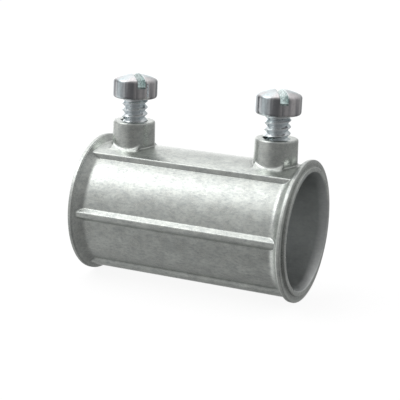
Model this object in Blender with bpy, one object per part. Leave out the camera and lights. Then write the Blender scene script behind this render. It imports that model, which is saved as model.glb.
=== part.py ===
"""Die-cast zinc set-screw coupling that joins two lengths of half-inch thin-wall steel conduit.

The barrel lies along X with its centre at the origin. Two bosses on top (+Z) each hold a slotted set
screw, which threads down through the wall to grip the conduit pushed into that end.
"""

import math

import bmesh
import bpy
from mathutils import Matrix

MM = 0.001

# The sockets, which set everything else: the conduit is 17.93 mm in outside diameter.
BORE_R = 9.2 * MM
MOUTH_R = 9.5 * MM
LEAD_IN = 1.7 * MM
STOP_R = 8.0 * MM
STOP_HALF = 0.6 * MM
HALF_LENGTH = 18.6 * MM

# The barrel's section: raised strips top and bottom, recessed sides, and a rib on the parting line.
STRIP_HALF_WIDTH = 5.45 * MM
CROWN_Z = 10.3 * MM
CROWN_BEND_R = 14.8 * MM
BOTTOM_R = 10.72 * MM
SIDE_R = 9.98 * MM
RIB_R = 10.7 * MM
RIB_TOP_HALF = 0.42 * MM
RIB_FOOT_HALF = 0.84 * MM

# The round flange at each end, with the hollow root behind it and the thin lip around the mouth.
FLANGE_R = 11.4 * MM
FLANGE_BACK = 17.57 * MM
FLANGE_FRONT = 18.25 * MM
ROOT_START = 16.07 * MM
ROOT_CENTRE = (15.33 * MM, 12.26 * MM)
FLANGE_EDGE = 0.12 * MM
LIP_R = 10.26 * MM

# The screw bosses and the sloping pads in front of and behind them.
BOSS_X = 12.5 * MM
BOSS_R = 3.42 * MM
BOSS_TOP = 14.3 * MM
BOSS_DRAFT = 0.08 * MM
BOSS_EDGE = 0.3 * MM
BOSS_FILLET = 0.3 * MM
BOSS_SINK = 0.07 * MM
BOSS_FOOT = 9.55 * MM
PAD_HALF_WIDTH = 2.3 * MM
PAD_RIDGE_Z = 12.8 * MM
PAD_SLOPE = 0.77
PAD_FOOT = 9.45 * MM
PAD_DRAFT = 1.08

# The set screws.
HEAD_R = 3.64 * MM
HEAD_UNDER = 18.07 * MM
HEAD_SHOULDER = 21.0 * MM
HEAD_TOP = 22.1 * MM
HEAD_ROUND = 0.4 * MM
SLOT_WIDTH = 1.28 * MM
SLOT_FLOOR = 20.3 * MM
SLOT_TURNS = {"left": -46.0, "right": -55.0}
THREAD_R = 2.13 * MM
THREAD_ROOT_R = 1.6 * MM
THREAD_PITCH = 1.06 * MM
THREAD_LEAD = 1.4
THREAD_SPARE_TURNS = 3
ENVELOPE_R = 1.1 * THREAD_R
NECK_R = 1.92 * MM
NECK_LENGTH = 0.55 * MM
SHANK_LENGTH = 8.0 * MM
TIP_CHAMFER = 0.5 * MM
NECK_OVERLAP = 0.22 * MM
HOLE_R = THREAD_R + 0.15 * MM
HOLE_CHAMFER = 0.25 * MM

# How finely round shapes are divided.
BARREL_STEP = math.radians(5)
ROOT_STEPS = 6
EDGE_STEPS = 3
ROUND_SIDES = 48
THREAD_SIDES = 20
THREAD_ROWS = 4
DOME_SHARES = (0.98, 0.8, 0.55, 0.28)
SHARP_ANGLE = math.radians(35)


def clear_scene():
    for obj in list(bpy.data.objects):
        bpy.data.objects.remove(obj, do_unlink=True)


def material(name, colour, roughness):
    mat = bpy.data.materials.new(name)
    mat.use_nodes = True
    shader = mat.node_tree.nodes["Principled BSDF"]
    shader.inputs["Base Color"].default_value = (*colour, 1)
    shader.inputs["Metallic"].default_value = 1
    shader.inputs["Roughness"].default_value = roughness
    return mat


def add_object(name, bm, mat=None):
    """Turn a bmesh into an object with flat outward faces, smooth where they meet gently."""
    bmesh.ops.recalc_face_normals(bm, faces=bm.faces[:])
    bmesh.ops.triangulate(bm, faces=bm.faces[:])
    mesh = bpy.data.meshes.new(name)
    bm.to_mesh(mesh)
    bm.free()
    mesh.shade_smooth()
    mesh.set_sharp_from_angle(angle=SHARP_ANGLE)
    obj = bpy.data.objects.new(name, mesh)
    bpy.context.collection.objects.link(obj)
    if mat:
        mesh.materials.append(mat)
    return obj


def combine(obj, other, operation):
    """Join, cut or trim obj by a helper solid, which is kept only as a wire guide."""
    mod = obj.modifiers.new(f"{operation.lower()}_{other.name}", "BOOLEAN")
    mod.operation = operation
    mod.solver = "EXACT"
    mod.object = other
    other.hide_render = True
    other.display_type = "WIRE"


def arc(centre, radius, start_deg, end_deg, steps):
    """Points along an arc in a plane, from one angle to another."""
    points = []
    for i in range(steps + 1):
        a = math.radians(start_deg + (end_deg - start_deg) * i / steps)
        points.append((centre[0] + radius * math.cos(a), centre[1] + radius * math.sin(a)))
    return points


# ---- the barrel


def upright(radius, y):
    """Height of a circle of this radius, centred on the bore, at a distance y to one side."""
    return math.sqrt(radius**2 - y**2)


def crown_height(y):
    """Height of the flattened top strip at a distance y from the middle."""
    return CROWN_Z - CROWN_BEND_R + math.sqrt(CROWN_BEND_R**2 - y**2)


def spread(first, last):
    """Angles from first to last in steps no wider than BARREL_STEP."""
    steps = max(1, math.ceil(abs(last - first) / BARREL_STEP))
    return [first + (last - first) * i / steps for i in range(steps + 1)]


def from_top(y, z):
    return math.atan2(y, z)


def half_outline():
    """The barrel's outline from top to bottom on the +Y side, as (y, z) points."""
    edge = STRIP_HALF_WIDTH
    crown_end = from_top(edge, crown_height(edge))
    side_start = from_top(edge, upright(SIDE_R, edge))
    rib_foot = from_top(upright(SIDE_R, RIB_FOOT_HALF), RIB_FOOT_HALF)
    bottom_start = from_top(edge, -upright(BOTTOM_R, edge))
    points = []
    for a in spread(0, crown_end):
        y = edge * math.sin(a) / math.sin(crown_end)
        points.append((y, crown_height(y)))
    points += [(SIDE_R * math.sin(a), SIDE_R * math.cos(a)) for a in spread(side_start, rib_foot)]
    points += [(RIB_R, RIB_TOP_HALF), (RIB_R, -RIB_TOP_HALF)]
    lower = [math.pi - a for a in spread(rib_foot, side_start)]
    points += [(SIDE_R * math.sin(a), SIDE_R * math.cos(a)) for a in lower]
    points += [(BOTTOM_R * math.sin(a), BOTTOM_R * math.cos(a)) for a in spread(bottom_start, math.pi)]
    return points


def barrel_outline():
    """The whole outline, as (angle from the top, radius) pairs around the bore."""
    half = [(from_top(y, z), math.hypot(y, z)) for y, z in half_outline()]
    other_half = [(2 * math.pi - a, r) for a, r in reversed(half[1:-1])]
    return half + other_half


def flange_stations():
    """(x, least radius) from the start of the hollow root, on the barrel, to the face of the mouth."""
    across, up = ROOT_START - ROOT_CENTRE[0], SIDE_R - ROOT_CENTRE[1]
    start = math.degrees(math.atan2(up, across))
    root_r = math.hypot(across, up)
    end = -math.degrees(math.acos((FLANGE_BACK - ROOT_CENTRE[0]) / root_r))
    root = arc(ROOT_CENTRE, root_r, start, end, ROOT_STEPS)
    rim = [
        (FLANGE_BACK, FLANGE_R - FLANGE_EDGE),
        (FLANGE_BACK + FLANGE_EDGE, FLANGE_R),
        (FLANGE_FRONT - FLANGE_EDGE, FLANGE_R),
        (FLANGE_FRONT, FLANGE_R - FLANGE_EDGE),
    ]
    lip = [
        (FLANGE_FRONT, LIP_R),
        (HALF_LENGTH - FLANGE_EDGE, LIP_R),
        (HALF_LENGTH, LIP_R - FLANGE_EDGE),
    ]
    return [p for p in root if p[1] < FLANGE_R - FLANGE_EDGE] + rim + lip


def bore_stations():
    """(x, radius) down the socket, from the mouth to the middle of the conduit stop."""
    return [
        (HALF_LENGTH, MOUTH_R),
        (HALF_LENGTH - LEAD_IN, BORE_R),
        (STOP_HALF, BORE_R),
        (STOP_HALF, STOP_R),
    ]


def mirrored(stations):
    """The same stations for the far end, then these, in order of rising x."""
    return [(-x, r) for x, r in reversed(stations)] + stations


def ring(bm, x, angles_and_radii):
    return [bm.verts.new((x, -r * math.sin(a), r * math.cos(a))) for a, r in angles_and_radii]


def join_rings(bm, one, two):
    for i in range(len(one)):
        j = (i + 1) % len(one)
        bm.faces.new((one[i], one[j], two[j], two[i]))


def make_barrel(mat):
    """The tube: outer rings from end to end, then the bore's rings back through the middle."""
    bm = bmesh.new()
    outline = barrel_outline()
    angles = [a for a, _ in outline]
    rings = []
    for x, least in mirrored(flange_stations()):
        on_barrel = abs(x) < FLANGE_FRONT
        rings.append(ring(bm, x, [(a, max(r, least) if on_barrel else least) for a, r in outline]))
    for x, radius in reversed(mirrored(list(reversed(bore_stations())))):
        rings.append(ring(bm, x, [(a, radius) for a in angles]))
    for one, two in zip(rings, rings[1:] + rings[:1]):
        join_rings(bm, one, two)
    return add_object("coupling_body", bm, mat)


# ---- turned shapes, bosses and pads


def turned(name, profile, place, mat=None, sides=ROUND_SIDES):
    """A solid turned about Z through place, from (radius, z) points that start and end on the axis."""
    bm = bmesh.new()
    x, y = place
    ends = [bm.verts.new((x, y, profile[0][1])), bm.verts.new((x, y, profile[-1][1]))]
    rings = []
    for r, z in profile[1:-1]:
        turns = [2 * math.pi * (i + 0.5) / sides for i in range(sides)]
        rings.append([bm.verts.new((x + r * math.cos(a), y + r * math.sin(a), z)) for a in turns])
    for one, two in zip(rings, rings[1:]):
        join_rings(bm, one, two)
    for end, first in zip(ends, (rings[0], rings[-1])):
        for i in range(sides):
            bm.faces.new((end, first[i], first[(i + 1) % sides]))
    return add_object(name, bm, mat)


def boss_profile():
    base_r = BOSS_R + BOSS_DRAFT
    fillet_z = CROWN_Z + BOSS_FILLET - BOSS_SINK
    flare = arc((base_r + BOSS_FILLET, fillet_z), BOSS_FILLET, -90, -180, EDGE_STEPS)
    edge = arc((BOSS_R - BOSS_EDGE, BOSS_TOP - BOSS_EDGE), BOSS_EDGE, 0, 90, EDGE_STEPS)
    return [(0, BOSS_FOOT), (flare[0][0], BOSS_FOOT), *flare, *edge, (0, BOSS_TOP)]


def make_pads(name, x):
    """A gable-shaped prism across the strip, whose two slopes stand out as pads beside the boss."""
    reach = (PAD_RIDGE_Z - PAD_FOOT) / PAD_SLOPE
    section = [(-reach, PAD_FOOT), (0, PAD_RIDGE_Z), (reach, PAD_FOOT)]
    bm = bmesh.new()
    ends = []
    for side in (-1, 1):
        verts = []
        for y, z in section:
            half = PAD_HALF_WIDTH * (PAD_DRAFT if z == PAD_FOOT else 1)
            verts.append(bm.verts.new((x + side * half, y, z)))
        bm.faces.new(verts)
        ends.append(verts)
    join_rings(bm, *ends)
    return add_object(name, bm)


def hole_profile():
    """The screw's hole, from inside the bore up through the boss, opening at a small chamfer."""
    low, high = BORE_R / 2, BOSS_TOP + HOLE_CHAMFER
    chamfer = [(HOLE_R, BOSS_TOP - HOLE_CHAMFER), (HOLE_R + 2 * HOLE_CHAMFER, high)]
    return [(0, low), (HOLE_R, low), *chamfer, (0, high)]


def make_body():
    zinc = material("cast_zinc", (0.60, 0.62, 0.60), 0.38)
    body = make_barrel(zinc)
    for side, x in (("left", -BOSS_X), ("right", BOSS_X)):
        combine(body, turned(f"boss_{side}", boss_profile(), (x, 0)), "UNION")
        combine(body, make_pads(f"pads_{side}", x), "UNION")
        combine(body, turned(f"hole_{side}", hole_profile(), (x, 0)), "DIFFERENCE")
    return body


# ---- the set screws, drawn about their own axis with z = 0 at the boss's top


def thread_radius(row):
    """Root for one row of each turn, crest for the opposite one, and the flanks between them."""
    share = abs((row % THREAD_ROWS) - THREAD_ROWS / 2) / (THREAD_ROWS / 2)
    return THREAD_R + (THREAD_ROOT_R - THREAD_R) * share


def make_thread(name, low, high):
    """A helical rod, over a turn longer at each end than from low to high, with a point at each end."""
    bm = bmesh.new()
    turns = math.ceil((high - low) / THREAD_PITCH) + THREAD_SPARE_TURNS
    start = low - THREAD_LEAD * THREAD_PITCH
    steps = range(THREAD_SIDES + 1)
    rows = []
    for row in range(turns * THREAD_ROWS + 1):
        r = thread_radius(row)
        verts = []
        for i in steps[:-1]:
            share = i / THREAD_SIDES
            z = start + THREAD_PITCH * (row / THREAD_ROWS + share)
            a = 2 * math.pi * share
            verts.append(bm.verts.new((r * math.cos(a), r * math.sin(a), z)))
        rows.append(verts)
    for one, two in zip(rows, rows[1:]):
        for i in steps[:-2]:
            bm.faces.new((one[i], one[i + 1], two[i + 1], two[i]))
    # The last column meets the first one a whole turn further up.
    for row in range(len(rows) - THREAD_ROWS - 1):
        lifted, above = rows[row + THREAD_ROWS][0], rows[row + THREAD_ROWS + 1][0]
        bm.faces.new((rows[row][-1], lifted, above, rows[row + 1][-1]))
    close_ends(bm)
    return add_object(name, bm)


def close_ends(bm):
    """Close each open edge loop with a fan to a point on the axis beyond it."""
    open_edges = [e for e in bm.edges if e.is_boundary]
    middle = sum(v.co.z for v in bm.verts) / len(bm.verts)
    for above in (False, True):
        loop = [e for e in open_edges if (e.verts[0].co.z > middle) == above]
        heights = [v.co.z for e in loop for v in e.verts]
        tip_z = max(heights) + THREAD_PITCH if above else min(heights) - THREAD_PITCH
        tip = bm.verts.new((0, 0, tip_z))
        for e in loop:
            bm.faces.new((*e.verts, tip))


def shank_envelope(tip, neck):
    """What the helical rod is trimmed to: a cylinder with a chamfered tip."""
    tip_r = THREAD_R - TIP_CHAMFER
    chamfer_top = tip + ENVELOPE_R - tip_r
    return [(0, tip), (tip_r, tip), (ENVELOPE_R, chamfer_top), (ENVELOPE_R, neck), (0, neck)]


def head_profile():
    """Neck, underside, rounded lower edge, side and domed top, down to inside the thread."""
    under, shoulder, top = (z - BOSS_TOP for z in (HEAD_UNDER, HEAD_SHOULDER, HEAD_TOP))
    rounded = arc((HEAD_R - HEAD_ROUND, under + HEAD_ROUND), HEAD_ROUND, -90, 0, EDGE_STEPS)
    rise = top - shoulder
    dome = [(HEAD_R * s, shoulder + rise * (1 - s**2)) for s in DOME_SHARES]
    neck = [(0, under - NECK_LENGTH), (NECK_R, under - NECK_LENGTH), (NECK_R, under)]
    return [*neck, *rounded, (HEAD_R, shoulder), *dome, (0, top)]


def slot_cutter(name):
    floor, top = SLOT_FLOOR - BOSS_TOP, HEAD_TOP - BOSS_TOP + HEAD_ROUND
    bm = bmesh.new()
    bmesh.ops.create_cube(bm, size=1)
    size = Matrix.Diagonal((3 * HEAD_R, SLOT_WIDTH, top - floor, 1))
    bmesh.ops.transform(bm, matrix=Matrix.Translation((0, 0, (floor + top) / 2)) @ size, verts=bm.verts)
    return add_object(name, bm)


def make_screw(side, x, mat):
    """One set screw, standing as it is shipped, with its head clear of the boss."""
    under = HEAD_UNDER - BOSS_TOP
    tip, neck = under - SHANK_LENGTH, under - NECK_OVERLAP
    screw = turned(f"set_screw_{side}", head_profile(), (0, 0), mat)
    thread = make_thread(f"thread_{side}", tip, neck)
    envelope = turned(f"envelope_{side}", shank_envelope(tip, neck), (0, 0), sides=THREAD_SIDES)
    slot = slot_cutter(f"slot_{side}")
    combine(thread, envelope, "INTERSECT")
    combine(screw, thread, "UNION")
    combine(screw, slot, "DIFFERENCE")
    for helper in (thread, envelope, slot):
        helper.parent = screw
    screw.location = (x, 0, BOSS_TOP)
    screw.rotation_euler.z = math.radians(SLOT_TURNS[side])
    return screw


def main():
    clear_scene()
    make_body()
    plated = material("zinc_plated_steel", (0.72, 0.75, 0.77), 0.2)
    make_screw("left", -BOSS_X, plated)
    make_screw("right", BOSS_X, plated)


main()
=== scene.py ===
"""Looks for a die-cast conduit set-screw coupling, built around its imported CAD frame.

The casting and the screws are drawn as implicit solids, in millimetres, whose surfaces are meshed on
fine grids and settled onto the shape, so that every fillet and rounded edge is real geometry.
"""

import math

import bpy
import numpy as np
from mathutils import Matrix, Vector


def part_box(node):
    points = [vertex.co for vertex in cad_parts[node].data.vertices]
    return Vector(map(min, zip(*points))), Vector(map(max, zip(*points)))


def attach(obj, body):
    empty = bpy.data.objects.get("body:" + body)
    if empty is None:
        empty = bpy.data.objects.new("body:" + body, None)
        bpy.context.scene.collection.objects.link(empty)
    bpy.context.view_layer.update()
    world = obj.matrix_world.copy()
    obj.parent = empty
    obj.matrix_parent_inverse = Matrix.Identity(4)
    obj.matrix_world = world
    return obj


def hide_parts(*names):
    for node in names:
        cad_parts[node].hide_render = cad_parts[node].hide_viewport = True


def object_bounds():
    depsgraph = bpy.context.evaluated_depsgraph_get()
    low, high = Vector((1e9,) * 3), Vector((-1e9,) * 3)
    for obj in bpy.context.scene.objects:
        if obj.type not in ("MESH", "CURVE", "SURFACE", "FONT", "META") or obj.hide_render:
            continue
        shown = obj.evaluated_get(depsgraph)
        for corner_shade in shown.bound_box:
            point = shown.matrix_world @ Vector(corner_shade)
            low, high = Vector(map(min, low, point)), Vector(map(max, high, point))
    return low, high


MM = 0.001

# The casting's section (mm).
BORE_R, MOUTH_R, LEAD_IN, LEAD_IN_POWER = 9.2, 9.5, 1.7, 1.6
STOP_R, STOP_HALF, STOP_SINK = 8.0, 0.6, 0.4
HALF_LENGTH, LIP_R = 18.6, 10.26
STRIP_HALF_WIDTH, CROWN_Z, CROWN_BEND_R, BOTTOM_R, SIDE_R = 5.45, 10.3, 14.8, 10.72, 9.98
RIB_R, RIB_TOP_HALF, RIB_FOOT_HALF = 10.7, 0.4, 0.98
FLANGE_R, FLANGE_BACK, FLANGE_FRONT, BARREL_INSET = 11.355, 17.57, 18.25, 0.3
ROOT_START, ROOT_CENTRE, ROOT_R, ROOT_SPARE = 16.07, (15.33, 12.26), 2.4, 0.1

# The screw bosses and their sloping pads (mm). The lowest heights lie inside the bore.
BOSS_R, BOSS_TOP, BOSS_LOW, BOSS_DRAFT = 3.42, 14.3, 5, 0.02
HOLE_R, HOLE_LOW, HOLE_CHAMFER = 2.16, 4, 0.02
PAD_HALF_WIDTH, PAD_RIDGE_Z, PAD_SLOPE, PAD_REACH = 2.3, 12.8, 0.77, 4.6
PAD_FLARE, PAD_FLARE_Z = 0.12, 11

# How wide the casting's edges are rounded, and its inner corners filled (mm).
EDGE = {
    "crown": 0.18, "bottom": 0.34, "rib": 0.12, "rim": 0.2, "lip": 0.16, "mouth": 0.15,
    "pad": 0.14, "boss": 0.36, "hole": 0.06, "stop": 0.2, "stop foot": 0.1,
}
FILLET = {
    "crown": 0.07, "bottom": 0.1, "rib": 0.1, "root": 0.06, "lip": 0.12, "flange": 0.12,
    "pad": 0.1, "boss": 0.24, "stop": 0.2,
}

# The set screws (mm), with each slot's turn in degrees and each thread's start as a share of a turn.
HEAD_R, HEAD_UNDER, HEAD_SHOULDER, HEAD_TOP = 3.64, 18.07, 21.1, 22.04
SLOT_HALF, SLOT_FLOOR = 0.64, 20.3
THREAD_R, THREAD_ROOT_R, THREAD_PITCH, CREST_HALF = 2.13, 1.6, 1.06, 0.04
NECK_R, NECK_LENGTH, SHANK_LENGTH, TIP_CHAMFER = 1.88, 0.45, 8.0, 0.5
SCREW_EDGE = {"shoulder": 0.36, "underside": 0.6, "slot": 0.12, "tip": 0.08}
SCREW_FILLET = {"neck": 0.12, "head": 0.2}
SCREWS = {
    "left": {"turn": -46.0, "phase": 0.54},
    "right": {"turn": -55.0, "phase": 0.21},
}

# Stretches of grid lines (start, end, spacing), which are closest where the casting bends most: in mm
# from mid-length, in degrees from the top, and in mm from the bore's axis.
ALONG_BORE = ((0, 8.4, 0.84), (8.4, 16.4, 0.21), (16.4, 17.5, 0.14), (17.5, 18.8, 0.065))
HALF_TURN = (
    (0, 21, 1.0), (21, 28, 1.4), (28, 36, 0.7), (36, 81, 4.0), (81, 99, 0.75),
    (99, 147, 4.0), (147, 154, 0.75), (154, 180, 3.7),
)
OUTWARDS = ((7.7, 8.9, 0.2), (8.9, 11.7, 0.12), (11.7, 15.1, 0.19))
SCREW_LINES, SHANK_SPACING, HEAD_SPACING, SCREW_SPARE = 78, 0.075, 0.1, 0.2

# The shifts that measure a solid's slope, while points settle and then for their normals (mm).
SETTLE_SHIFT, NORMAL_SHIFT = 0.01, 0.02

# How far a point looks out for a recess, and the room around the bore and slots that is inside (mm).
CASTING_REACH, SCREW_REACH = 0.8, 0.5
BORE_SPARE, SLOT_SPARE, SLOT_DEPTH_SPARE = 0.04, 0.02, 0.3

# The camera (degrees, m, mm of lens). A separate least-squares program fitted it to the lines of the
# strip, ribs and flanges.
CAMERA_AZIMUTH, CAMERA_ELEVATION, CAMERA_ROLL = 24.04, 13.81, 2.46
CAMERA_TARGET, CAMERA_DISTANCE = (-0.000133, 0.0, 0.00253), 0.2059
CAMERA_LENS, SENSOR_WIDTH = 114.31, 36

# Soft lobes of light: direction, tightness, brightness. These numbers are not chosen by hand: a separate
# least-squares program fitted them to the object's tones. Only the first lobe's brightness was changed
# by hand, after comparing renders, and the rest were only rounded.
BASE_LIGHT = 0.18
LOBES = [
    ((-0.60, -0.30, 0.75), 19, 2.35),
    ((-0.65, 0.75, 0.00), 14, 1.35),
    ((-0.50, 0.40, 0.80), 7.5, 0.95),
    ((-0.65, -0.55, 0.50), 24, 0.80),
    ((-0.90, -0.10, -0.45), 7, 0.75),
    ((-0.30, 0.95, -0.15), 25, 0.70),
    ((0.35, 0.35, 0.85), 1.7, 0.43),
    ((-0.55, -0.85, 0.10), 9, 0.35),
]

# The floor's half width in metres, its grey and its own glow.
FLOOR_HALF, FLOOR_GREY, FLOOR_GLOW = 3.0, 0.16, 0.9

# Colours of the bare zinc, and of the plated steel.
ZINC = {
    "shade": (0.60, 0.62, 0.59, 1),
    "light": (0.75, 0.78, 0.74, 1),
    "streak": (0.42, 0.45, 0.45, 1),
    "grain": (0.36, 0.39, 0.40, 1),
    # painted shade: darker in recesses, fillets and inner corners
    "corner_shade": (0.24, 0.25, 0.24, 1),
    "worn edge": (0.88, 0.90, 0.87, 1),
    # painted light: the bore's inside is lighter, in place of light bounced around in it
    "bore": (0.76, 0.77, 0.78, 1),
}
STEEL = {
    "blue": (0.68, 0.76, 0.79, 1),
    "tan": (0.78, 0.75, 0.76, 1),
    # dark vertical streaks on the heads' sides: draw marks with painted reflection of the surroundings
    "streak": (0.22, 0.23, 0.25, 1),
    "fleck": (0.36, 0.38, 0.38, 1),
    # painted shade: darker in the screw's recesses and thread roots
    "corner_shade": (0.26, 0.32, 0.33, 1),
    "thread": (0.84, 0.92, 0.95, 1),
    "slot shade": (0.14, 0.20, 0.20, 1),
    "slot light": (0.58, 0.70, 0.68, 1),
    # painted highlight on the thread crests, and painted shade as a dark outline on the head's rim
    "crest highlight": (0.86, 0.90, 0.92, 1),
    "rim shade": (0.30, 0.33, 0.34, 1),
}

# Radii from just outside the thread to near the head's rim, where the steel's looks change (m).
THREAD_LOOKS_R, HEAD_INNER_R, HEAD_LOOKS_R = 0.0022, 0.0026, 0.0034


# ---- implicit solids: functions that are negative inside


def smooth_max(a, b, k):
    """Overlap of two solids, with the edge between them rounded over a width k."""
    h = np.maximum(k - np.abs(a - b), 0) / k
    return np.maximum(a, b) + h * h * k / 4


def smooth_min(a, b, k):
    """Join of two solids, with a fillet of width k between them."""
    return -smooth_max(-a, -b, k)


def barrel_section(y, z, r):
    """The barrel without its bore: recessed sides, raised strips, and the parting-line ribs."""
    across = np.abs(y) - STRIP_HALF_WIDTH
    crown = np.hypot(y, z + CROWN_BEND_R - CROWN_Z) - CROWN_BEND_R
    top = np.maximum(smooth_max(crown, across, EDGE["crown"]), -z)
    bottom = np.maximum(smooth_max(r - BOTTOM_R, across, EDGE["bottom"]), z)
    flare = (RIB_FOOT_HALF - RIB_TOP_HALF) / (RIB_R - SIDE_R)
    flank = (np.abs(z) - RIB_TOP_HALF - flare * (RIB_R - r)) / math.hypot(1, flare)
    rib = smooth_max(r - RIB_R, flank, EDGE["rib"])
    section = smooth_min(r - SIDE_R, top, FILLET["crown"])
    section = smooth_min(section, bottom, FILLET["bottom"])
    return smooth_min(section, rib, FILLET["rib"])


def flange(end, r):
    """The flange, its hollow root behind and its lip in front, where end is measured from mid-length."""
    middle, half = (FLANGE_BACK + FLANGE_FRONT) / 2, (FLANGE_FRONT - FLANGE_BACK) / 2
    rim = smooth_max(r - FLANGE_R, np.abs(end - middle) - half, EDGE["rim"])
    hollow = ROOT_R - np.hypot(end - ROOT_CENTRE[0], r - ROOT_CENTRE[1])
    span = np.maximum(ROOT_START - ROOT_SPARE - end, end - middle)
    root = np.maximum(np.maximum(span, r - FLANGE_R + ROOT_SPARE), hollow)
    lip = np.maximum(smooth_max(r - LIP_R, end - HALF_LENGTH, EDGE["lip"]), middle - end)
    return smooth_min(smooth_min(rim, root, FILLET["root"]), lip, FILLET["lip"])


def sloping_pads(beside, y, z):
    """The pads in front of and behind a boss, whose axis is beside away along the barrel."""
    slope = (z + PAD_SLOPE * np.abs(y) - PAD_RIDGE_Z) / math.hypot(1, PAD_SLOPE)
    wall = np.abs(beside) - PAD_HALF_WIDTH - PAD_FLARE * (PAD_FLARE_Z - z)
    return np.maximum(smooth_max(slope, wall, EDGE["pad"]), np.maximum(np.abs(y) - PAD_REACH, -z))


def boss(rho, z):
    """A boss about an upright axis that is rho away."""
    side = rho - BOSS_R - BOSS_DRAFT * (BOSS_TOP - z)
    return np.maximum(smooth_max(side, z - BOSS_TOP, EDGE["boss"]), BOSS_LOW - z)


def screw_hole(rho, z):
    """The clearance hole of a boss, from above its top down into the bore."""
    chamfer = np.maximum(z - BOSS_TOP + HOLE_CHAMFER, 0)
    return np.maximum(rho - HOLE_R - chamfer, HOLE_LOW - z)


def bore_radius(end):
    """The bore's radius, which opens towards each mouth along a curved lead-in."""
    share = np.clip((end - HALF_LENGTH + LEAD_IN) / LEAD_IN, 0, 2)
    return BORE_R + (MOUTH_R - BORE_R) * share**LEAD_IN_POWER


def conduit_stop(end, r):
    """The low ring inside the bore at mid-length."""
    ring = smooth_max(end - STOP_HALF, STOP_R - r, EDGE["stop"])
    return smooth_max(ring, r - BORE_R - STOP_SINK, EDGE["stop foot"])


def casting(boss_x):
    """The whole casting's solid, with its bosses boss_x to either side of mid-length."""

    def solid(x, y, z):
        r = np.hypot(y, z)
        end = np.abs(x)
        rho = np.hypot(end - boss_x, y)
        barrel = np.maximum(barrel_section(y, z, r), end - FLANGE_FRONT + BARREL_INSET)
        outer = smooth_min(barrel, flange(end, r), FILLET["flange"])
        outer = smooth_min(outer, sloping_pads(end - boss_x, y, z), FILLET["pad"])
        outer = smooth_min(outer, boss(rho, z), FILLET["boss"])
        tube = smooth_max(outer, bore_radius(end) - r, EDGE["mouth"])
        tube = smooth_min(tube, conduit_stop(end, r), FILLET["stop"])
        return smooth_max(tube, -screw_hole(rho, z), EDGE["hole"])

    return solid


def from_slot(x, y, turn):
    """Distance from the middle of a slot that is turned about the screw's axis."""
    along = math.radians(turn)
    return np.abs(y * math.cos(along) - x * math.sin(along))


def screw_head(x, y, z, turn):
    """The domed head with its slot."""
    rho = np.hypot(x, y)
    rise = HEAD_TOP - HEAD_SHOULDER
    dome_r = (HEAD_R**2 + rise**2) / (2 * rise)
    dome = np.hypot(rho, z - HEAD_TOP + dome_r) - dome_r
    head = smooth_max(rho - HEAD_R, dome, SCREW_EDGE["shoulder"])
    head = smooth_max(head, HEAD_UNDER - z, SCREW_EDGE["underside"])
    slot = np.maximum(from_slot(x, y, turn) - SLOT_HALF, SLOT_FLOOR - z)
    return smooth_max(head, -slot, SCREW_EDGE["slot"])


def screw_shank(x, y, z, phase):
    """The threaded shank, with flanks at 45 degrees and a chamfered tip."""
    rho = np.hypot(x, y)
    turns = z / THREAD_PITCH - np.arctan2(y, x) / (2 * math.pi) - phase
    from_crest = np.abs((turns + 0.5) % 1 - 0.5) * THREAD_PITCH
    depth = np.clip(from_crest - CREST_HALF, 0, THREAD_R - THREAD_ROOT_R)
    thread = (rho - THREAD_R + depth) * math.sqrt(0.5)
    tip = HEAD_UNDER - SHANK_LENGTH
    ends = np.maximum(z - HEAD_UNDER, tip - z)
    chamfer = (rho - THREAD_R + TIP_CHAMFER - (z - tip)) * math.sqrt(0.5)
    return smooth_max(np.maximum(thread, ends), chamfer, SCREW_EDGE["tip"])


def set_screw(turn, phase):
    """A screw's solid about its own upright axis, with its slot and its thread turned as asked."""

    def solid(x, y, z):
        neck = np.maximum(np.hypot(x, y) - NECK_R, np.abs(z - HEAD_UNDER) - NECK_LENGTH)
        shank = smooth_min(screw_shank(x, y, z, phase), neck, SCREW_FILLET["neck"])
        return smooth_min(shank, screw_head(x, y, z, turn), SCREW_FILLET["head"])

    return solid


# ---- meshing


def surface_net(solid, axes, place, wraps):
    """Quads around the solid's surface, on a grid of nodes that place() puts in space."""
    nodes = np.stack(place(*np.meshgrid(*axes, indexing="ij")), -1)
    value = np.stack([solid(*np.moveaxis(layer, -1, 0)) for layer in nodes])
    cells = [len(a) - 1 for a in axes]
    total = int(np.prod(cells))
    sums, counts, faces = np.zeros((3, total)), np.zeros(total), []
    for axis in range(3):
        one, two = (axis + 1) % 3, (axis + 2) % 3
        low = np.take(value, range(cells[axis]), axis)
        high = np.take(value, range(1, cells[axis] + 1), axis)
        found = np.argwhere((low < 0) != (high < 0))
        for other in (one, two):
            first = 0 if wraps[other] else 1
            found = found[(found[:, other] >= first) & (found[:, other] < cells[other])]
        here = tuple(found.T)
        step = found.copy()
        step[:, axis] += 1
        share = (low[here] / (low[here] - high[here]))[:, None]
        points = nodes[here] * (1 - share) + nodes[tuple(step.T)] * share
        around = []
        for a, b in ((-1, -1), (0, -1), (0, 0), (-1, 0)):
            cell = found.copy()
            cell[:, one] = (cell[:, one] + a) % cells[one]
            cell[:, two] = (cell[:, two] + b) % cells[two]
            around.append(np.ravel_multi_index(tuple(cell.T), cells))
            counts += np.bincount(around[-1], minlength=total)
            for i in range(3):
                sums[i] += np.bincount(around[-1], points[:, i], total)
        quads = np.stack(around, -1)
        faces.append(np.where((low[here] < 0)[:, None], quads, quads[:, ::-1]))
    used, faces = np.unique(np.concatenate(faces), return_inverse=True)
    return (sums[:, used] / counts[used]).T, faces.reshape(-1, 4)


def gradient(solid, points, shift):
    """The solid's slope at each point, from its values a small shift to either side."""
    columns = []
    for step in np.eye(3) * shift:
        columns.append((solid(*(points + step).T) - solid(*(points - step).T)) / (2 * shift))
    return np.stack(columns, -1)


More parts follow.
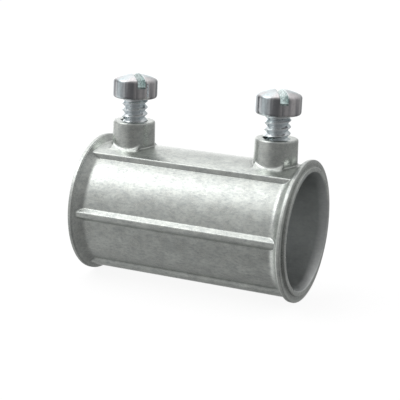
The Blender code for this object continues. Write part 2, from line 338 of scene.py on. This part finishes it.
def settle(solid, points, steps=4, longest=0.08, least_slope=0.2):
    """Move points onto the surface, by Newton steps no longer than longest."""
    for _ in range(steps):
        slope = gradient(solid, points, SETTLE_SHIFT)
        move = -(solid(*points.T) / np.maximum((slope**2).sum(1), least_slope))[:, None] * slope
        size = np.linalg.norm(move, axis=1, keepdims=True)
        points = points + move * np.minimum(1, longest / np.maximum(size, 1e-9))
    return points


def add_piece(name, solid, grid, offset, mat, reach, hollow):
    """A meshed solid as a smooth object.

    Its recesses, its edges and what hollow() says is inside are attributes for its material.
    """
    points, faces = surface_net(solid, *grid)
    points = settle(solid, points)
    slope = gradient(solid, points, NORMAL_SHIFT)
    normals = slope / np.linalg.norm(slope, axis=1, keepdims=True)
    recess = 1 - np.clip(solid(*(points + normals * reach).T) / reach, 0, 1)
    edge = 1 - np.clip(-solid(*(points - normals * reach / 2).T) / (reach / 2), 0, 1)
    mesh = bpy.data.meshes.new(name)
    mesh.from_pydata(((points + offset) * MM).tolist(), [], faces.tolist())
    mesh.shade_smooth()
    mesh.normals_split_custom_set_from_vertices(normals.tolist())
    for label, values in (("recess", recess), ("edge", edge), ("inside", hollow(*points.T))):
        attribute = mesh.attributes.new(label, "FLOAT", "POINT")
        attribute.data.foreach_set("value", values.astype(np.float32))
    mesh.materials.append(mat)
    obj = bpy.data.objects.new(name, mesh)
    bpy.context.scene.collection.objects.link(obj)
    return obj


def lines(*stretches):
    """Grid lines from (start, end, spacing) stretches that follow each other."""
    parts = []
    for start, end, spacing in stretches:
        count = max(1, round(abs(end - start) / spacing))
        parts.append(np.linspace(start, end, count, endpoint=False))
    return np.append(np.concatenate(parts), stretches[-1][1])


def around_bore(x, angle, r):
    """Grid nodes about the barrel's axis, with the angle measured from the top."""
    return x, r * np.sin(angle), r * np.cos(angle)


def upright(x, y, z):
    """Grid nodes as they are."""
    return x, y, z


def make_casting(boss_x, mat):
    """The casting on a grid about its bore, in place of its CAD node."""
    half = lines(*ALONG_BORE)
    along = np.concatenate([-half[::-1], half[1:]])
    half_turn = lines(*HALF_TURN)
    turn = np.radians(np.concatenate([half_turn, 360 - half_turn[-2::-1]]))
    grid = ((along, turn, lines(*OUTWARDS)), around_bore, (False, True, False))

    def in_bore(x, y, z):
        return np.hypot(y, z) < MOUTH_R + BORE_SPARE

    piece = add_piece("casting", casting(boss_x), grid, (0, 0, 0), mat, CASTING_REACH, in_bore)
    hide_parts("coupling_body")
    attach(piece, "coupling")


def make_screw(side, mat):
    """A screw on an upright grid about its CAD node's axis, in place of that node."""
    low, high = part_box(f"set_screw_{side}")
    axis_x = (low.x + high.x) / 2 / MM
    turn = SCREWS[side]["turn"]
    across = np.linspace(-HEAD_R - SCREW_SPARE, HEAD_R + SCREW_SPARE, SCREW_LINES)
    bottom, top = HEAD_UNDER - SHANK_LENGTH - SCREW_SPARE, HEAD_TOP + SCREW_SPARE
    up = lines((bottom, HEAD_UNDER, SHANK_SPACING), (HEAD_UNDER, top, HEAD_SPACING))
    grid = ((across, across, up), upright, (False, False, False))

    def in_slot(x, y, z):
        beside = from_slot(x, y, turn) < SLOT_HALF + SLOT_SPARE
        return beside & (z > SLOT_FLOOR - SLOT_DEPTH_SPARE)

    solid = set_screw(**SCREWS[side])
    piece = add_piece(f"screw_{side}", solid, grid, (axis_x, 0, 0), mat, SCREW_REACH, in_slot)
    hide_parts(f"set_screw_{side}")
    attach(piece, f"{side}_screw")


# ---- materials


class Nodes:
    """Short calls for building a node tree."""

    def __init__(self, tree):
        self.tree = tree

    def add(self, kind, inputs=(), **settings):
        node = self.tree.nodes.new("ShaderNode" + kind)
        for key, value in settings.items():
            setattr(node, key, value)
        for key, value in dict(inputs).items():
            self.put(node, key, value)
        return node

    def put(self, node, key, value):
        """Link a socket to an input, or set the input's value."""
        if isinstance(value, bpy.types.NodeSocket):
            self.tree.links.new(value, node.inputs[key])
        else:
            node.inputs[key].default_value = value

    def math(self, operation, a, b=0.0, c=0.0):
        return self.add("Math", {0: a, 1: b, 2: c}, operation=operation).outputs[0]

    def vector(self, operation, a, b=(0, 0, 0)):
        node = self.add("VectorMath", {0: a, 1: b}, operation=operation)
        return node.outputs["Value" if operation in ("DOT_PRODUCT", "LENGTH") else "Vector"]

    def noise(self, where, scale, detail, roughness):
        values = {"Vector": where, "Scale": scale, "Detail": detail, "Roughness": roughness}
        return self.add("TexNoise", values).outputs["Fac"]

    def spread(self, value, low, high, to_low=0.0, to_high=1.0):
        """Map low..high to to_low..to_high, and hold it there beyond them."""
        values = {"Value": value, 1: low, 2: high, 3: to_low, 4: to_high}
        return self.add("MapRange", values, clamp=True).outputs["Result"]

    def mix(self, share, a, b):
        node = self.add("Mix", data_type="RGBA", clamp_factor=True)
        for key, value in ((0, share), (6, a), (7, b)):
            self.put(node, key, value)
        return node.outputs[2]

    def layers(self, colour, *layers):
        """Lay (share, colour) layers one after another over a colour."""
        for share, above in layers:
            colour = self.mix(share, colour, above)
        return colour

    def attribute(self, name):
        return self.add("Attribute", attribute_name=name).outputs["Fac"]

    def bump(self, height, strength, distance, over=None):
        """Bumps of this height, laid over the normal of other bumps where there are any."""
        values = {"Height": height, "Strength": strength, "Distance": distance}
        if over is not None:
            values["Normal"] = over
        return self.add("Bump", values).outputs[0]


def new_material(name):
    mat = bpy.data.materials.new(name)
    mat.use_nodes = True
    nodes = Nodes(mat.node_tree)
    return mat, nodes, mat.node_tree.nodes["Principled BSDF"]


def cast_zinc():
    """Bare die-cast zinc: satin, finely mottled, with painted shade in its corners and brighter on worn
    edges.
    """
    mat, n, shader = new_material("cast_zinc")
    where = n.add("TexCoord").outputs["Object"]
    drawn = n.vector("MULTIPLY", where, (0.5, 1.0, 1.0))
    blotch = n.noise(where, scale=420.0, detail=4.0, roughness=0.6)
    grain = n.noise(drawn, scale=3200.0, detail=3.0, roughness=0.7)
    streak = n.noise(drawn, scale=1100.0, detail=3.0, roughness=0.6)
    fine = n.noise(where, scale=6000.0, detail=2.0, roughness=0.6)
    wave = n.noise(where, scale=260.0, detail=2.0, roughness=0.5)
    inside = n.attribute("inside")
    colour = n.layers(
        n.mix(n.spread(blotch, 0.35, 0.65), ZINC["shade"], ZINC["light"]),
        (n.spread(streak, 0.42, 0.7, 0.0, 0.35), ZINC["streak"]),
        (n.spread(grain, 0.45, 0.7, 0.0, 0.6), ZINC["grain"]),
        # Painted shade: darker in recesses, fillets and inner corners.
        (n.spread(n.attribute("recess"), 0.15, 0.7, 0.0, 0.7), ZINC["corner_shade"]),
        (n.spread(n.attribute("edge"), 0.4, 0.75, 0.0, 0.7), ZINC["worn edge"]),
        # Painted light: lighter inside the bore, in place of light bounced around in it.
        (n.math("MULTIPLY", inside, 0.6), ZINC["bore"]),
    )
    rough = n.spread(blotch, 0.3, 0.7, 0.26, 0.34)
    rough = n.math("ADD", rough, n.spread(grain, 0.3, 0.7, -0.04, 0.05))
    rough = n.math("MULTIPLY_ADD", inside, 0.12, rough)
    height = n.math("MULTIPLY_ADD", grain, 0.6, n.math("MULTIPLY", fine, 0.4))
    swell = n.bump(wave, 0.35, 0.1 * MM)
    n.put(shader, "Base Color", colour)
    n.put(shader, "Roughness", rough)
    n.put(shader, "Metallic", 1.0)
    n.put(shader, "Normal", n.bump(height, 0.25, 0.05 * MM, over=swell))
    return mat


def plated_steel(name, centre_x):
    """Bright zinc plate on turned steel, with fine turning marks and a faint blue and tan tint."""
    mat, n, shader = new_material(name)
    where = n.vector("SUBTRACT", n.add("TexCoord").outputs["Object"], (centre_x, 0, 0))
    drawn = n.vector("MULTIPLY", where, (1.0, 1.0, 0.06))
    squeezed = n.vector("MULTIPLY", where, (1.0, 1.0, 3.0))
    streak = n.noise(drawn, scale=700.0, detail=3.0, roughness=0.6)
    fleck = n.noise(where, scale=2600.0, detail=3.0, roughness=0.6)
    tint = n.noise(drawn, scale=330.0, detail=1.0, roughness=0.5)
    ripple = n.noise(squeezed, scale=1500.0, detail=3.0, roughness=0.6)
    facing_up = n.add("SeparateXYZ", {0: n.add("NewGeometry").outputs["Normal"]}).outputs[2]
    radius = n.vector("LENGTH", n.vector("MULTIPLY", where, (1, 1, 0)))
    # Where the head's sides take dark streaks, fainter on faces that look up: draw marks with painted
    # reflection of the surroundings.
    streaks_and_reflection_on_side = n.math(
        "MULTIPLY",
        n.spread(radius, HEAD_INNER_R, HEAD_LOOKS_R, 0.15),
        n.spread(facing_up, 0.2, 0.7, 1.0, 0.15),
    )
    slot = n.mix(n.spread(fleck, 0.4, 0.6), STEEL["slot shade"], STEEL["slot light"])
    # Painted highlight on the thread's crests, and painted shade on the head's rim.
    rim = n.mix(
        n.spread(radius, HEAD_INNER_R, HEAD_LOOKS_R), STEEL["crest highlight"], STEEL["rim shade"]
    )
    colour = n.layers(
        n.mix(n.spread(tint, 0.4, 0.6), STEEL["blue"], STEEL["tan"]),
        # Dark streaks on the head's sides: draw marks with painted reflection.
        (n.math("MULTIPLY", n.spread(streak, 0.42, 0.6, 0.0, 0.85), streaks_and_reflection_on_side), STEEL["streak"]),
        (n.spread(fleck, 0.45, 0.7, 0.0, 0.3), STEEL["fleck"]),
        # Painted shade: darker in recesses and thread roots.
        (n.spread(n.attribute("recess"), 0.2, 0.7, 0.0, 0.3), STEEL["corner_shade"]),
        (n.spread(radius, THREAD_LOOKS_R, HEAD_INNER_R, 0.5, 0.0), STEEL["thread"]),
        (n.math("MULTIPLY", n.attribute("inside"), 0.9), slot),
        # Painted highlight and shade on edges: bright thread crests, a dark head rim.
        (n.spread(n.attribute("edge"), 0.25, 0.6, 0.0, 0.65), rim),
    )
    n.put(shader, "Base Color", colour)
    n.put(shader, "Roughness", n.spread(fleck, 0.3, 0.7, 0.08, 0.18))
    n.put(shader, "Metallic", 1.0)
    n.put(shader, "Normal", n.bump(ripple, 0.3, 0.06 * MM))
    return mat


def pale_floor():
    """A matt floor that glows, so that it stays near white outside a soft shadow."""
    mat, n, shader = new_material("pale_floor")
    n.put(shader, "Base Color", (FLOOR_GREY, FLOOR_GREY, FLOOR_GREY, 1))
    n.put(shader, "Roughness", 0.9)
    n.put(shader, "Specular IOR Level", 0.0)
    n.put(shader, "Emission Color", (1, 1, 1, 1))
    n.put(shader, "Emission Strength", FLOOR_GLOW)
    return mat


# ---- camera, light and floor


def make_camera():
    azimuth, elevation, roll = map(math.radians, (CAMERA_AZIMUTH, CAMERA_ELEVATION, CAMERA_ROLL))
    level = math.cos(elevation)
    back = Vector((math.sin(azimuth) * level, -math.cos(azimuth) * level, math.sin(elevation)))
    right = Vector((math.cos(azimuth), math.sin(azimuth), 0))
    up = back.cross(right)
    right, up = (
        math.cos(roll) * right + math.sin(roll) * up,
        math.cos(roll) * up - math.sin(roll) * right,
    )
    data = bpy.data.cameras.new("camera")
    data.lens, data.sensor_width = CAMERA_LENS, SENSOR_WIDTH
    data.clip_start, data.clip_end = 0.01, 50
    camera = bpy.data.objects.new("camera", data)
    place = Vector(CAMERA_TARGET) + back * CAMERA_DISTANCE
    turn = Matrix((right, up, back)).transposed().to_4x4()
    camera.matrix_world = Matrix.Translation(place) @ turn
    bpy.context.scene.collection.objects.link(camera)
    bpy.context.scene.camera = camera


def make_light():
    """A plain studio surround: a base level of grey with broad soft lobes of light.

    The camera itself sees it as white.
    """
    world = bpy.data.worlds.new("studio")
    world.use_nodes = True
    n = Nodes(world.node_tree)
    where = n.vector("NORMALIZE", n.add("TexCoord").outputs["Generated"])
    light = BASE_LIGHT
    for direction, tightness, brightness in LOBES:
        near = n.vector("DOT_PRODUCT", where, Vector(direction).normalized())
        lobe = n.math("EXPONENT", n.math("MULTIPLY", n.math("SUBTRACT", near, 1.0), tightness))
        light = n.math("MULTIPLY_ADD", lobe, brightness, light)
    seen = n.add("LightPath").outputs["Is Camera Ray"]
    strength = n.math("MULTIPLY_ADD", seen, n.math("SUBTRACT", 1.0, light), light)
    background = world.node_tree.nodes["Background"]
    n.put(background, "Color", (1, 1, 1, 1))
    n.put(background, "Strength", strength)
    bpy.context.scene.world = world


def make_floor():
    """A wide floor under the whole object, at the lowest point of the pieces that render."""
    half, z = FLOOR_HALF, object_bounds()[0].z
    mesh = bpy.data.meshes.new("floor")
    corners = [(-half, -half, z), (half, -half, z), (half, half, z), (-half, half, z)]
    mesh.from_pydata(corners, [], [(0, 1, 2, 3)])
    mesh.materials.append(pale_floor())
    floor = bpy.data.objects.new("floor", mesh)
    bpy.context.scene.collection.objects.link(floor)
    floor.visible_glossy = False


# ---- the scene

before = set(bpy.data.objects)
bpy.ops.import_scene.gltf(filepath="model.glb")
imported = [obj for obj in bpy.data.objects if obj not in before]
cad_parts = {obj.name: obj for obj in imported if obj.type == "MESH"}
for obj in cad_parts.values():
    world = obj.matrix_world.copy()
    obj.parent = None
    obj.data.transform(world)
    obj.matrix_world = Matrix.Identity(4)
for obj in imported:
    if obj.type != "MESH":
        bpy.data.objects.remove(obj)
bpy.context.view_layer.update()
bpy.context.scene.view_settings.view_transform = "Standard"
left_low, left_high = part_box("set_screw_left")
boss_x = abs(left_low.x + left_high.x) / 2
make_casting(boss_x / MM, cast_zinc())
for side, x in (("left", -boss_x), ("right", boss_x)):
    make_screw(side, plated_steel(f"plated_steel_{side}", x))
make_camera()
make_light()
make_floor()
